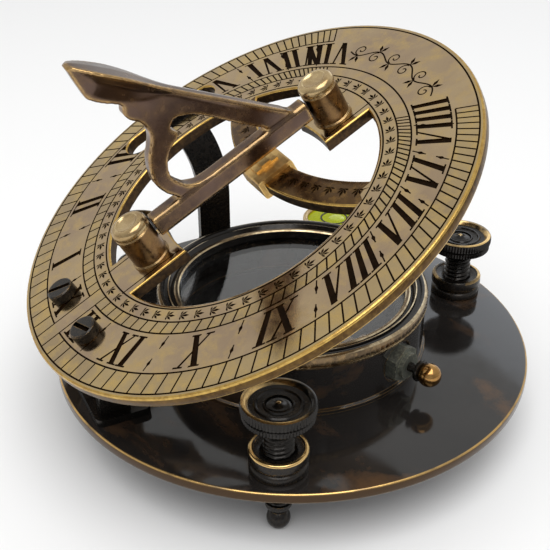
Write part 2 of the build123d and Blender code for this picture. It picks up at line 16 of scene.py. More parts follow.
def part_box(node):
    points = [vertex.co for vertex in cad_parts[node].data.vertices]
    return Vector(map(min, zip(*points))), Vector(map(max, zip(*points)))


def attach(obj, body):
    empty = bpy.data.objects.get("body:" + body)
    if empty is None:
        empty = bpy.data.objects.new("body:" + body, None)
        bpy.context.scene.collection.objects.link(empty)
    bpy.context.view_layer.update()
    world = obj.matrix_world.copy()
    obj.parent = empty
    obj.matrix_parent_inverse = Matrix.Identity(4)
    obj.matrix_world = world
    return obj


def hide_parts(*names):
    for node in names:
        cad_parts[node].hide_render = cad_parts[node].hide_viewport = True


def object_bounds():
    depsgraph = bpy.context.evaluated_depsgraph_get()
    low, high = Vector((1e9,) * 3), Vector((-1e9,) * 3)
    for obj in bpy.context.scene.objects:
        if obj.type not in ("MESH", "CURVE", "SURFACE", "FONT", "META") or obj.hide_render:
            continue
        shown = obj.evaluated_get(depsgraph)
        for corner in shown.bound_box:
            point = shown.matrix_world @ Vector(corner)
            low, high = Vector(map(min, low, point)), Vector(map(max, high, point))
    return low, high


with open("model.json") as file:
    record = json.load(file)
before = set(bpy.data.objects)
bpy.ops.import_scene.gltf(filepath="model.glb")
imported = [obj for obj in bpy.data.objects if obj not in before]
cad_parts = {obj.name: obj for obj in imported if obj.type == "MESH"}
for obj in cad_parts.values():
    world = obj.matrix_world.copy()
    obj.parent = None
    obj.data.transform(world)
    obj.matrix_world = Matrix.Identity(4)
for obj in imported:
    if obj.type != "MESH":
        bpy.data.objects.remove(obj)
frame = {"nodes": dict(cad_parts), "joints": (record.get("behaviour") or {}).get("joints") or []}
cad_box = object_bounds()
joints = {j["name"]: j for j in frame["joints"]}

MM = 0.001
PARTS = ("front", "rear", "left")

# ---- dial ring (ring frame, mm) ----
RING_R = 49.9
RING_T = 2.4
RING_FROM_PIN = (44.0, 13.37)        # along and above the hinge pin, with the dial flat
OPEN_R = 29.6
TAB_HALF = 5.8
TAB_SOUTH_Y = -15.8
TAB_NORTH_Y = 18.3
TAB_HOLLOW = 0.45
TAB_DEGREES = math.degrees(math.asin(TAB_HALF / OPEN_R))
WEB_CENTRE_Y = 52.0
WEB_R_FAR = 48.2
WEB_R_NEAR = 42.0
SLOT = (-39.4, 0.8, 3.5, 8.7)        # centre x, y, end radius, half length between end centres
RIM_BEVEL = 0.5
UNDER_BEVEL = 0.4
EDGE_BEVEL = 0.35
ENGRAVE_DEPTH = 0.34
RING_SCREW = (7.8, -40.0)

# ---- what is engraved on the dial ----
LINE_W = 0.34
TICK_W = 0.32
RULE_W = 0.3
SPEAR_W = 0.26
CIRCLE_OUTER = 0.9794 * RING_R
CIRCLE_NUMERAL_OUT = 0.894 * RING_R
CIRCLE_NUMERAL_IN = 0.7218 * RING_R
CIRCLE_SCALE_IN = 0.6693 * RING_R
CIRCLE_INNER = 0.6105 * RING_R
STAMP_R = 0.640 * RING_R
STAMP_COUNT = 63
WEB_STAMPS = range(-8, 9)
WEB_STAMP_STEP = 4.1                 # degrees about the web's centre
TAB_RULE_X = 4.4
HOUR_FOOT_Y = 0.398 * RING_R         # where the hour lines meet, under the style's foot
NOON_GAP_HALF = 1.75
HOUR_STEP = 16.42                    # degrees between hour lines about that foot
LAST_HOUR = 8
TICKS_PER_HOUR = 6
NUMERAL_H = 7.0
NUMERAL_FEET_R = 43.9
LETTER_GAP = 0.12
LAST_NUMERAL_SHIFT = 0.6             # towards noon, clear of the scale's end
NOON_SHIFTS = (-3.7, 3.0)            # the X and the II on both sides of the noon gap
SPEAR_TIP_R = (39.3, 41.4)
HOURS_RIGHT = ("XI", "X", "IX", "VIII", "VII", "VI", "V", "IIII")
HOURS_LEFT = ("I", "II", "III", "IIII", "V", "VI", "VII", "VIII")

# ---- gnomon and its posts (ring frame, mm) ----
POST_Y = {"post_south": -21.6, "post_north": 23.8}
POST_R = 3.7
POST_H = 9.4
BAR_Z = 5.0
STYLE_TIP = (-13.6, 41.2)
STYLE_ROOT = (17.8, 6.2)
STYLE_HALF = 1.5
LEAF_TIP_HALF = 0.9
LEAF_HALF = 4.1
LEAF_WIDEST_AT = 8.0                 # down the style from its tip
LEAF_FADE = 13.0
LEAF_RISE = 0.95
LEAF_REACH = 44.0
LEAF_EDGE = 0.3
LEAF_CROWN = 0.25
BLADE_HALF = 1.8                     # where the leaf has faded into the blade
BLADE_NECK_HALF = 1.4                # under the leaf
BAR_HALF = (1.8, 2.2)
BAR_GAP = 0.3                        # between the bar's ends and the posts

# ---- base and levelling screws (row frame, mm) ----
PLATE_R = 51.0
PLATE_T = 2.2
PLATE_EDGE = 0.45
BOSS_HOLE_R = 4.4
BASE_SCREW_CIRCLE_R = 20.0
BASE_SCREW_ANGLES = (67.0, 187.0, 307.0)
BASE_SCREW_SINK = (2.8, 1.35)        # radius at the underside, radius and depth where the cone ends
WHEEL_Z0 = 13.6
WHEEL_TOP = 17.4
WHEEL_R = 7.0
FOOT_TOP = -5.7
FOOT_FLOOR = -12.3

# ---- camera, fitted to the photo (row frame, mm) ----
CAMERA_AT = (160.5, -82.4, 123.4)
CAMERA_AIM = (-1.68, -3.28, 17.31)
CAMERA_LENS = 64.1


# ======== placing
FROM_MM = Matrix.Scale(MM, 4)


def ring_place():
    """Ring frame to row frame, with millimetres turned to metres."""
    pin = Vector(joints["dial_tilt"]["pos_m"])
    bar = Vector(joints["gnomon_fold"]["axis"])
    along, above = RING_FROM_PIN
    tilt = Matrix.Rotation(math.atan2(bar.z, bar.y), 4, "X")
    return Matrix.Translation(pin) @ tilt @ Matrix.Translation((0, along * MM, above * MM)) @ FROM_MM


def at_node(name):
    """Upright frame on a CAD node's vertical axis, at z = 0 of the row frame."""
    low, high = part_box(name)
    middle = (low + high) / 2
    return Matrix.Translation((middle.x, middle.y, 0)) @ FROM_MM


def centre_mm(name):
    centre = at_node(name).translation / MM
    return (centre.x, centre.y)


RING = ring_place()


# ======== mesh building
class Shape:
    """Vertices in mm, faces, and a material number for each face."""

    def __init__(self):
        self.verts, self.faces, self.paints = [], [], []

    def add(self, verts, faces, paint=0):
        first = len(self.verts)
        self.verts += [tuple(v) for v in verts]
        self.faces += [tuple(i + first for i in f) for f in faces]
        self.paints += [paint] * len(faces)

    def face(self, corners, paint=0):
        self.add(corners, [tuple(range(len(corners)))], paint)

    def strip(self, ring_a, ring_b, paint=0):
        """Quads between two closed rings of points."""
        n = len(ring_a)
        faces = [(i, (i + 1) % n, n + (i + 1) % n, n + i) for i in range(n)]
        self.add(list(ring_a) + list(ring_b), faces, paint)

    def merge(self, other):
        own = len(self.faces)
        self.add(other.verts, other.faces)
        self.paints[own:] = other.paints

    def moved(self, matrix):
        self.verts = [tuple(matrix @ Vector(v)) for v in self.verts]
        return self


def new_object(name, data):
    made = bpy.data.objects.new(name, data)
    bpy.context.scene.collection.objects.link(made)
    return made


def build(name, shape, place, body, materials, replaced=(), smooth_deg=38.0, weld=1e-4):
    """Turns a Shape into a piece that rides on its body. weld is the distance in mm that joins points."""
    mesh = bpy.data.meshes.new(name)
    mesh.from_pydata(shape.verts, [], shape.faces)
    mesh.polygons.foreach_set("material_index", shape.paints)
    work = bmesh.new()
    work.from_mesh(mesh)
    bmesh.ops.remove_doubles(work, verts=work.verts, dist=weld)
    bmesh.ops.dissolve_degenerate(work, dist=weld, edges=work.edges)
    bmesh.ops.recalc_face_normals(work, faces=work.faces)
    work.to_mesh(mesh)
    work.free()
    mesh.transform(place)
    mesh.update()
    mesh.polygons.foreach_set("use_smooth", [True] * len(mesh.polygons))
    mesh.set_sharp_from_angle(angle=math.radians(smooth_deg))
    for material in materials:
        mesh.materials.append(material)
    piece = new_object(name, mesh)
    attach(piece, body)
    if replaced:
        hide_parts(*replaced)
    return piece


def build_on(cad_name, ending, shape, body, materials, smooth_deg=38.0):
    """A piece on the upright axis of the one CAD node that it replaces, and named after it."""
    build(f"{cad_name}_{ending}", shape, at_node(cad_name), body, materials, [cad_name], smooth_deg)


def direction(angle):
    return Vector((math.cos(angle), math.sin(angle)))


def polar(radius, degrees):
    a = math.radians(degrees)
    return (radius * math.cos(a), radius * math.sin(a))


def at_height(points, z):
    return [(x, y, z) for x, y in points]


def turned(profile, segments, teeth_depth=0.0):
    """Surface of revolution from (radius, z, paint, toothed) points, of which the last two may be left out.

    A point's paint lasts up to the next point. Toothed points ripple in and out.
    """
    shape = Shape()
    rings, paints = [], []
    for radius, z, *rest in profile:
        paint, toothed = (*rest, 0, False)[:2]
        depths = (0, teeth_depth if toothed else 0)
        rings.append([(*polar(radius - depths[i % 2], 360 * i / segments), z) for i in range(segments)])
        paints.append(paint)
    for lower, upper, paint in zip(rings, rings[1:], paints):
        shape.strip(lower, upper, paint)
    return shape


def circle_points(cx, cy, radius, start, end, step=1.5):
    """Points of an arc in degrees, both ends included."""
    count = max(2, round(abs(end - start) / step))
    arc = [polar(radius, start + (end - start) * i / count) for i in range(count + 1)]
    return [(cx + x, cy + y) for x, y in arc]


def full_circle(radius, count=240, cx=0.0, cy=0.0):
    return circle_points(cx, cy, radius, 0, 360, 360 / count)[:-1]


def counter_clockwise(loop):
    doubled_area = sum(a[0] * b[1] - b[0] * a[1] for a, b in zip(loop, loop[1:] + loop[:1]))
    return loop if doubled_area > 0 else loop[::-1]


def offset(loop, distance):
    """The loop moved outwards by a distance, with mitred corners."""
    loop = counter_clockwise(loop)
    moved = []
    for last, here, following in zip(loop[-1:] + loop[:-1], loop, loop[1:] + loop[:1]):
        before = Vector(here) - Vector(last)
        after = Vector(following) - Vector(here)
        normal = Vector((before.y, -before.x)).normalized()
        both = normal + Vector((after.y, -after.x)).normalized()
        middle = both.normalized() if both.length > 1e-6 else normal
        reach = distance / max(0.5, middle.dot(normal))
        moved.append((here[0] + middle.x * reach, here[1] + middle.y * reach))
    return moved


def smooth_curve(points, per_span=6):
    """Catmull-Rom curve through the points."""
    inner = [Vector(p) for p in points]
    knots = [2 * inner[0] - inner[1]] + inner + [2 * inner[-1] - inner[-2]]
    curve = []
    for p0, p1, p2, p3 in zip(knots, knots[1:], knots[2:], knots[3:]):
        for step in range(per_span):
            t = step / per_span
            point = 0.5 * (2 * p1 + (p2 - p0) * t + (2 * p0 - 5 * p1 + 4 * p2 - p3) * t * t
                           + (3 * p1 - p0 - 3 * p2 + p3) * t ** 3)
            curve.append(tuple(point))
    return curve + [points[-1]]


def triangulate(loops):
    """Triangles over the loops, each with the set of loops that it lies in."""
    verts, faces = [], []
    for loop in loops:
        first = len(verts)
        verts += [Vector(p) for p in counter_clockwise(loop)]
        faces.append(list(range(first, len(verts))))
    out = delaunay_2d_cdt(verts, [], faces, 0, 1e-5, True)
    return [tuple(v) for v in out[0]], [(tri, set(inside)) for tri, inside in zip(out[2], out[5])]


def with_holes(outline, holes):
    """Points and triangles of an outline with holes in it."""
    points, triangles = triangulate([outline] + holes)
    return points, [t for t, inside in triangles if inside == {0}]


# ======== materials
RUBBED_ROUGHNESS = 0.22
COAT_ROUGHNESS = 0.08
BUMP_DEPTH = 0.05                    # mm


def feed(tree, target, inputs):
    """Links a node's inputs to where their values come from, or sets them to constants."""
    for key, value in inputs.items():
        if isinstance(value, bpy.types.NodeSocket):
            tree.links.new(value, target.inputs[key])
        else:
            target.inputs[key].default_value = value


def node(tree, kind, inputs=(), **settings):
    made = tree.nodes.new(kind)
    for key, value in settings.items():
        setattr(made, key, value)
    feed(tree, made, dict(inputs))
    return made


def in_mm(tree):
    """Object coordinates in millimetres."""
    coordinates = node(tree, "ShaderNodeTexCoord").outputs["Object"]
    return node(tree, "ShaderNodeMapping", {"Vector": coordinates, "Scale": (1 / MM,) * 3}).outputs[0]


def noise(tree, where, scale, detail=3.0, rough=0.55, distortion=0.0):
    made = node(tree, "ShaderNodeTexNoise", {"Vector": where, "Scale": scale, "Detail": detail,
                                             "Roughness": rough, "Distortion": distortion})
    return made.outputs["Fac"]


def spread(tree, value, low, high, to_low=0.0, to_high=1.0):
    made = node(tree, "ShaderNodeMapRange", {"Value": value, "From Min": low, "From Max": high,
                                             "To Min": to_low, "To Max": to_high})
    return made.outputs["Result"]


def maths(tree, operation, a, b=0.0):
    return node(tree, "ShaderNodeMath", {0: a, 1: b}, operation=operation, use_clamp=True).outputs[0]


def mix(tree, share, a, b):
    return node(tree, "ShaderNodeMix", {0: share, 6: a, 7: b}, data_type="RGBA").outputs[2]


def srgb(r, g, b):
    """Linear colour from 0-255 display values."""
    def linear(c):
        c /= 255
        return c / 12.92 if c <= 0.04045 else ((c + 0.055) / 1.055) ** 2.4
    return (linear(r), linear(g), linear(b), 1.0)


def edge_wear_and_glint(tree, where, radius, amount):
    """1 along convex and concave edges, broken up by noise."""
    rounded = node(tree, "ShaderNodeBevel", {"Radius": radius * MM}, samples=4).outputs[0]
    normal = node(tree, "ShaderNodeNewGeometry").outputs["Normal"]
    dot = node(tree, "ShaderNodeVectorMath", {0: rounded, 1: normal}, operation="DOT_PRODUCT")
    edge = spread(tree, dot.outputs["Value"], 0.995, 0.90)
    patchy = spread(tree, noise(tree, where, 0.55), 0.62 - 0.5 * amount, 0.62)
    return maths(tree, "MULTIPLY", edge, patchy)


def new_material(name):
    """A material with its node tree and its shader."""
    material = bpy.data.materials.new(name)
    material.use_nodes = True
    tree = material.node_tree
    return material, tree, tree.nodes["Principled BSDF"]


def metal(name, tones, wear_and_glint=None, roughness=(0.25, 0.45), metallic=1.0, blotch=0.11, grain=5.0,
          bump=0.25, edge_radius=0.35, wear_and_glint_amount=0.6, coat=0.0, streaks=0.0, spots=None, specular=0.5):
    """Aged metal, lacquer or print: tones blended in blotches, with fine grain.

    Scales are per millimetre, colours are 0-255 display values. The edge colour is rubbed metal, and where
    its band is broad it is also a painted highlight.
    spots is (colour, share, metallic, strength).
    """
    material, tree, shader = new_material(name)
    where = in_mm(tree)
    tones = [srgb(*tone) for tone in tones]
    large = noise(tree, where, blotch, 4.0, 0.6, 0.6)
    medium = noise(tree, where, blotch * 6, 4.0, 0.6)
    fine = noise(tree, where, grain, 2.0)
    colour = mix(tree, spread(tree, large, 0.36, 0.62), tones[0], tones[1])
    if len(tones) > 2:
        colour = mix(tree, spread(tree, medium, 0.46, 0.72), colour, tones[2])
    colour = mix(tree, spread(tree, fine, 0.35, 0.75, 0.0, 0.35), colour, tones[1])
    rough = spread(tree, medium, 0.3, 0.7, *roughness)
    body_metallic = metallic
    if spots:
        spot_tone, share, spot_metallic, strength = spots
        cloud = noise(tree, where, blotch * 0.55, 6.0, 0.66, 0.4)
        mask = spread(tree, cloud, 0.62 - share, 0.78 - share, 0.0, strength)
        colour = mix(tree, mask, colour, srgb(*spot_tone))
        body_metallic = spread(tree, mask, 0.0, 1.0, metallic, spot_metallic)
    # Colour of the edges: rubbed metal, and where a material makes the band broad, also a painted highlight
    # along them.
    if wear_and_glint:
        edge = edge_wear_and_glint(tree, where, edge_radius, wear_and_glint_amount)
        colour = mix(tree, edge, colour, srgb(*wear_and_glint))
        rough = spread(tree, edge, 0.0, 1.0, rough, RUBBED_ROUGHNESS)
        if metallic < 1.0:
            body_metallic = spread(tree, edge, 0.0, 1.0, body_metallic, 1.0)
    height = maths(tree, "ADD", maths(tree, "MULTIPLY", fine, 0.5), maths(tree, "MULTIPLY", medium, 0.5))
    if streaks:
        brushed = node(tree, "ShaderNodeMapping", {"Vector": where, "Scale": (0.25, 6.0, 2.0)}).outputs[0]
        lines = noise(tree, brushed, 1.4, 2.0)
        height = maths(tree, "ADD", height, maths(tree, "MULTIPLY", lines, streaks))
    bumped = node(tree, "ShaderNodeBump", {"Height": height, "Strength": bump, "Distance": BUMP_DEPTH * MM})
    feed(tree, shader, {"Base Color": colour, "Roughness": rough, "Metallic": body_metallic,
                        "Specular IOR Level": specular, "Coat Weight": coat,
                        "Coat Roughness": COAT_ROUGHNESS, "Normal": bumped.outputs[0]})
    return material


def glass_material():
    """Clear glass with faint smears in its polish."""
    material, tree, shader = new_material("compass_glass_clear")
    smear = noise(tree, in_mm(tree), 0.12, 4.0, 0.6, 0.8)
    feed(tree, shader, {"Base Color": (1.0, 1.0, 1.0, 1.0), "Transmission Weight": 1.0, "IOR": 1.5,
                        "Roughness": spread(tree, smear, 0.4, 0.8, 0.0, 0.02)})
    return material


DIAL_FACE = metal("dial_face_brass", ((190, 167, 128), (164, 142, 117), (194, 166, 112)),
                  roughness=(0.08, 0.2), blotch=0.05, bump=0.06, streaks=0.25)
DIAL_BAND = metal("dial_band_brass", ((188, 165, 120), (166, 145, 112), (200, 170, 106)),
                  roughness=(0.1, 0.22), blotch=0.05, bump=0.06, streaks=0.25)
# Brighter, more golden than the face, for the bevels and the walls of the sunk marks: a painted highlight
# along these edges.
DIAL_EDGE = metal("dial_edge_brass", ((208, 174, 98), (188, 152, 82), (156, 122, 68)),
                  roughness=(0.16, 0.3), blotch=0.2, bump=0.2)
DIAL_SIDE = metal("dial_side_brass", ((108, 84, 50), (76, 56, 34), (128, 100, 56)),
                  wear_and_glint=(206, 170, 100), roughness=(0.26, 0.42), blotch=0.16, edge_radius=0.3, wear_and_glint_amount=0.4)
INNER_WALL = metal("dial_inner_wall", ((70, 52, 34), (44, 33, 23), (98, 74, 44)),
                   roughness=(0.3, 0.48), metallic=0.8, blotch=0.2, bump=0.3)
WEB_BRASS = metal("web_brown_brass", ((104, 80, 52), (78, 58, 40), (140, 108, 62)),
                  roughness=(0.18, 0.34), blotch=0.10, bump=0.2)
ENGRAVED = metal("engraving_dark", ((16, 10, 5), (30, 19, 10)), roughness=(0.6, 0.85),
                 metallic=0.0, blotch=0.6, specular=0.02)
# Its broad golden edge band (1.3 mm wide, full amount) is partly rubbed metal and partly a painted highlight
# along the leaf's rounded lip and the other edges.
CAST_BRASS = metal("cast_brown_brass", ((108, 88, 77), (82, 67, 60), (122, 98, 76)),
                   wear_and_glint=(216, 178, 116), roughness=(0.18, 0.3), blotch=0.05, bump=0.12,
                   edge_radius=1.3, wear_and_glint_amount=1.0)
POST_BRASS = metal("post_brown_brass", ((132, 102, 68), (94, 72, 50), (150, 118, 76)),
                   wear_and_glint=(232, 204, 146), roughness=(0.22, 0.36), blotch=0.12, bump=0.12)
CAP_BRASS = metal("cap_worn_brass", ((202, 178, 134), (162, 136, 96)), wear_and_glint=(250, 228, 178),
                  roughness=(0.18, 0.3), blotch=0.2, bump=0.15)
CLIP_BRASS = metal("clip_brass", ((222, 184, 118), (186, 148, 88), (232, 198, 130)),
                   wear_and_glint=(250, 220, 146), roughness=(0.36, 0.5), blotch=0.2, bump=0.3)
BLACK = metal("black_brass", ((30, 28, 27), (38, 35, 33)), wear_and_glint=(176, 140, 84),
              roughness=(0.05, 0.14), metallic=0.0, blotch=0.05, bump=0.05, coat=0.2,
              spots=((140, 104, 72), 0.075, 0.85, 0.5))
BLACK_MATT = metal("blackened_brass", ((24, 22, 21), (36, 32, 28), (50, 42, 32)),
                   wear_and_glint=(176, 140, 88), roughness=(0.2, 0.36), metallic=0.5, blotch=0.25, bump=0.25,
                   edge_radius=0.22, wear_and_glint_amount=0.35)
BLACK_PLAIN = metal("blackened_knurl", ((30, 29, 28), (44, 41, 38), (38, 35, 31)),
                    roughness=(0.16, 0.3), metallic=0.7, blotch=0.2, bump=0.12)
# Dark rims with broad gold patches: partly worn brass, partly a painted highlight, the gold crescents that
# the rims catch.
WORN_AND_GLINT_TOP = metal("worn_and_glinting_wheel_brass", ((52, 50, 47), (36, 35, 34), (62, 57, 50)),
                 roughness=(0.14, 0.26), metallic=0.8, blotch=0.12, bump=0.08,
                 spots=((226, 190, 126), 0.2, 1.0, 0.95))
BEZEL_BRASS = metal("bezel_bronze", ((134, 114, 88), (84, 71, 56), (156, 130, 94)),
                    wear_and_glint=(226, 204, 160), roughness=(0.16, 0.3), blotch=0.12, bump=0.15,
                    edge_radius=0.2, wear_and_glint_amount=0.5)
# Pale bright strips on the bezel's rounded rims: painted highlights.
BEZEL_LINE = metal("bezel_bright_line", ((206, 190, 158), (170, 150, 118), (120, 102, 78)),
                   roughness=(0.14, 0.26), blotch=0.1, bump=0.1)
BEZEL_DARK = metal("bezel_dark_groove", ((26, 24, 22), (38, 34, 30)), roughness=(0.1, 0.22),
                   metallic=0.5, blotch=0.15, bump=0.08)
NUT = metal("nut_patina", ((124, 128, 118), (94, 96, 88), (148, 148, 132)), wear_and_glint=(204, 200, 176),
            roughness=(0.34, 0.5), metallic=0.6, blotch=0.3, bump=0.3)
AMBER = metal("knob_amber_brass", ((176, 134, 80), (138, 100, 58), (196, 156, 94)),
              roughness=(0.12, 0.24), blotch=0.2, bump=0.15)
CARD = metal("black_card_paper", ((12, 12, 13), (24, 24, 26)), roughness=(0.5, 0.7), metallic=0.0,
             blotch=0.2, bump=0.2)
STEEL = metal("blued_steel_needle", ((30, 40, 74), (52, 48, 92)), wear_and_glint=(150, 150, 170),
              roughness=(0.2, 0.35), blotch=0.3)
FLUID = metal("level_fluid_green", ((196, 206, 8), (172, 186, 4), (208, 214, 24)),
              roughness=(0.1, 0.18), metallic=0.0, blotch=0.12, bump=0.02, specular=0.1)
BUBBLE = metal("level_bubble_pale", ((214, 226, 40), (200, 214, 20)), roughness=(0.06, 0.12),
               metallic=0.0, blotch=0.3, bump=0.02, coat=0.4)
PRINT = metal("level_print_black", ((14, 14, 10), (34, 34, 20)), roughness=(0.4, 0.6),
              metallic=0.0, blotch=0.6)
GLASS = glass_material()


def plate_material():
    """Black lacquer over brass: worn to bright metal along the plate's edges and to brown down its side."""
    material = BLACK.copy()
    material.name = "plate_black_brass"
    tree = material.node_tree
    shader = tree.nodes["Principled BSDF"]
    normal = node(tree, "ShaderNodeNewGeometry").outputs["Normal"]
    upright = maths(tree, "ABSOLUTE", node(tree, "ShaderNodeSeparateXYZ", {0: normal}).outputs["Z"])
    broken = spread(tree, noise(tree, in_mm(tree), 0.12, 4.0), 0.34, 0.5, 0.35, 1.0)
    line = maths(tree, "MULTIPLY", spread(tree, upright, 0.995, 0.93), broken)
    side = spread(tree, upright, 0.62, 0.3)
    for mask, tone in ((line, (206, 168, 104)), (side, (74, 56, 38))):
        under = {name: shader.inputs[name].links[0].from_socket
                 for name in ("Base Color", "Metallic", "Roughness")}
        feed(tree, shader, {"Base Color": mix(tree, mask, under["Base Color"], srgb(*tone)),
                            "Metallic": spread(tree, mask, 0.0, 1.0, under["Metallic"], 1.0),
                            "Roughness": spread(tree, mask, 0.0, 1.0, under["Roughness"], 0.26)})
    return material


PLATE = plate_material()


# ======== dial ring
FACE, MARK, EDGE, SIDE, WEB, WALL, BAND = range(7)
DIAL_MATERIALS = [DIAL_FACE, ENGRAVED, DIAL_EDGE, DIAL_SIDE, WEB_BRASS, INNER_WALL, DIAL_BAND]


def web_meets(web_radius):
    """Where one side of the web meets the opening: degrees about the ring's centre, and about the web's."""
    y = (WEB_CENTRE_Y ** 2 + OPEN_R ** 2 - web_radius ** 2) / (2 * WEB_CENTRE_Y)
    x = math.sqrt(OPEN_R ** 2 - y ** 2)
    return math.degrees(math.atan2(y, x)), math.degrees(math.atan2(y - WEB_CENTRE_Y, x))


def main_opening():
    """The hole between the hinge-side tab and the crescent web, anticlockwise."""
    web, turn = web_meets(WEB_R_FAR)
    loop = circle_points(0, 0, OPEN_R, -90 + TAB_DEGREES, web)
    loop += circle_points(0, WEB_CENTRE_Y, WEB_R_FAR, turn, -180 - turn)[1:-1]
    loop += circle_points(0, 0, OPEN_R, 180 - web, 270 - TAB_DEGREES)
    return loop + tab_end(TAB_SOUTH_Y, -1)


def far_opening():
    """The hole between the web and the far tab, anticlockwise."""
    web, turn = web_meets(WEB_R_NEAR)
    loop = circle_points(0, 0, OPEN_R, web, 90 - TAB_DEGREES)
    loop += tab_end(TAB_NORTH_Y, 1)
    loop += circle_points(0, 0, OPEN_R, 90 + TAB_DEGREES, 180 - web)
    return loop + circle_points(0, WEB_CENTRE_Y, WEB_R_NEAR, -180 - turn, turn)[1:-1]


def tab_end(y, side):
    """The slightly hollow end of a tab, in the direction that the opening's outline runs."""
    count = 8
    across = [2 * i / count - 1 for i in range(count + 1)]
    return [(-side * TAB_HALF * t, y + side * TAB_HOLLOW * (1 - t * t)) for t in across]


def slot_loop():
    x, y, r, half = SLOT
    return circle_points(x, y + half, r, 0, 180, 6) + circle_points(x, y - half, r, 180, 360, 6)


def ray_point(side, hour, radius):
    """Where an hour's line crosses a circle about the ring's centre; side is 1 before noon, -1 after."""
    a = math.radians(HOUR_STEP * hour)
    start = Vector((side * NOON_GAP_HALF, HOUR_FOOT_Y))
    way = Vector((side * math.sin(a), -math.cos(a)))
    along = start.dot(way)
    return start + way * (math.sqrt(along ** 2 - start.length_squared + radius ** 2) - along)


def stroke(a, b, width):
    """Straight line of even width between two points."""
    return ribbon([Vector(a), Vector(b)], width)


def ribbon(points, width):
    """Line of even width along a list of points."""
    left, right = [], []
    last = len(points) - 1
    for i, p in enumerate(points):
        way = (points[min(i + 1, last)] - points[max(i - 1, 0)]).normalized()
        across = Vector((-way.y, way.x)) * width / 2
        left.append(tuple(p + across))
        right.append(tuple(p - across))
    return right + left[::-1]


def band(radius, start, end):
    """Engraved line along part of a circle, in degrees."""
    outer = circle_points(0, 0, radius + LINE_W / 2, start, end)
    return outer + circle_points(0, 0, radius - LINE_W / 2, end, start)


def kite(base, angle, length, width, widest):
    """Leaf-shaped stamp from its base, along an angle in radians, widest at a share of its length."""
    way = direction(angle)
    side = Vector((-way.y, way.x)) * width / 2
    base = Vector(base)
    middle = base + way * length * widest
    return [tuple(base), tuple(middle - side), tuple(base + way * length), tuple(middle + side)]


def palmette(centre, angle, size=1.0):
    """Five small leaves that fan out from one base."""
    base = Vector(centre) - direction(angle) * 1.05 * size
    fan = ((0, 2.1, 0.62), (0.62, 1.7, 0.5), (-0.62, 1.7, 0.5), (1.35, 1.2, 0.42), (-1.35, 1.2, 0.42))
    return [kite(base, angle + turn, length * size, width * size, 0.6) for turn, length, width in fan]


def letter_strokes(letter):
    """Polygons of one Roman numeral letter and its width, feet at y = 0."""
    h, thick, thin, serif = NUMERAL_H, 1.2, 0.5, 0.36

    def serif_bar(x0, x1, top):
        y0 = h - serif if top else 0.0
        return [(x0, y0), (x1, y0), (x1, y0 + serif), (x0, y0 + serif)]

    def leg(x_top, x_foot, width):
        half = width / 2
        return [(x_foot - half, 0.1), (x_foot + half, 0.1), (x_top + half, h - 0.1), (x_top - half, h - 0.1)]

    if letter == "I":
        return [leg(1.1, 1.1, thick), serif_bar(0.0, 2.2, True), serif_bar(0.0, 2.2, False)], 2.2
    if letter == "V":
        legs = [leg(1.0, 2.5, thick), leg(4.1, 2.7, thin)]
        return legs + [serif_bar(0.0, 2.1, True), serif_bar(3.2, 5.0, True)], 5.0
    return [leg(0.95, 4.05, thick), leg(4.0, 1.0, thin), serif_bar(0.0, 2.0, True), serif_bar(3.1, 4.9, True),
            serif_bar(0.1, 1.9, False), serif_bar(3.0, 5.0, False)], 5.0


def numeral(text, side, hour, shift=0.0):
    """Roman numeral on an hour's line, feet outwards; strokes lean with it, serifs follow the circles."""
    letters = [letter_strokes(c) for c in text]
    total = sum(width for _, width in letters) + LETTER_GAP * (len(letters) - 1)
    cursor = shift - total / 2
    marks = []
    for polygons, width in letters:
        for polygon in polygons:
            mark = []
            for x, y in polygon:
                turn = Matrix.Rotation((cursor + x) / (NUMERAL_FEET_R - NUMERAL_H / 2), 2)
                mark.append(tuple(turn @ ray_point(side, hour, NUMERAL_FEET_R - y)))
            marks.append(mark)
        cursor += width + LETTER_GAP
    return marks


def degrees_of(point):
    return math.degrees(math.atan2(point.y, point.x))


def scale_marks():
    """Circles, hour boxes, numerals and spears. The circle outside the numerals skips the far gap."""
    marks = []
    for radius in (CIRCLE_OUTER, CIRCLE_SCALE_IN, CIRCLE_INNER):
        marks += [band(radius, 0, 180), band(radius, 180, 360)]
    for radius in (CIRCLE_NUMERAL_IN, CIRCLE_NUMERAL_OUT):
        near_r, near_l = (degrees_of(ray_point(side, 0, radius)) for side in (1, -1))
        far_r, far_l = (degrees_of(ray_point(side, LAST_HOUR, radius)) for side in (1, -1))
        if radius == CIRCLE_NUMERAL_IN:
            marks.append(band(radius, near_r, near_l % 360))
        else:
            marks += [band(radius, near_r, far_r), band(radius, far_l, near_l % 360)]
    for side, texts in ((1, HOURS_RIGHT), (-1, HOURS_LEFT)):
        for tick in range(LAST_HOUR * TICKS_PER_HOUR + 1):
            hour = tick / TICKS_PER_HOUR
            marks.append(ray_stroke(side, hour, CIRCLE_NUMERAL_OUT, CIRCLE_OUTER, TICK_W))
            marks.append(ray_stroke(side, hour, CIRCLE_SCALE_IN, CIRCLE_NUMERAL_IN, TICK_W))
        marks.append(ray_stroke(side, 0, CIRCLE_NUMERAL_IN, CIRCLE_NUMERAL_OUT, RULE_W))
        for hour, text in enumerate(texts, 1):
            marks += spears(side, hour - 0.5)
            marks += numeral(text, side, hour, -side * LAST_NUMERAL_SHIFT if hour == LAST_HOUR else 0.0)
    return marks + numeral("X", -1, 0, NOON_SHIFTS[0]) + numeral("II", 1, 0, NOON_SHIFTS[1])


def ray_stroke(side, hour, inner, outer, width):
    return stroke(ray_point(side, hour, inner), ray_point(side, hour, outer), width)


def spears(side, hour):
    """Two slim spears that point at each other across the numeral band."""
    marks = []
    for start, end in zip((CIRCLE_NUMERAL_IN + 0.5, CIRCLE_NUMERAL_OUT - 0.5), SPEAR_TIP_R):
        a, b = ray_point(side, hour, start), ray_point(side, hour, end)
        way = b - a
        head = kite(a + way * 0.3, math.atan2(way.y, way.x), way.length * 0.7, width=0.72, widest=0.4)
        marks += [stroke(a, b, SPEAR_W), head]
    return marks


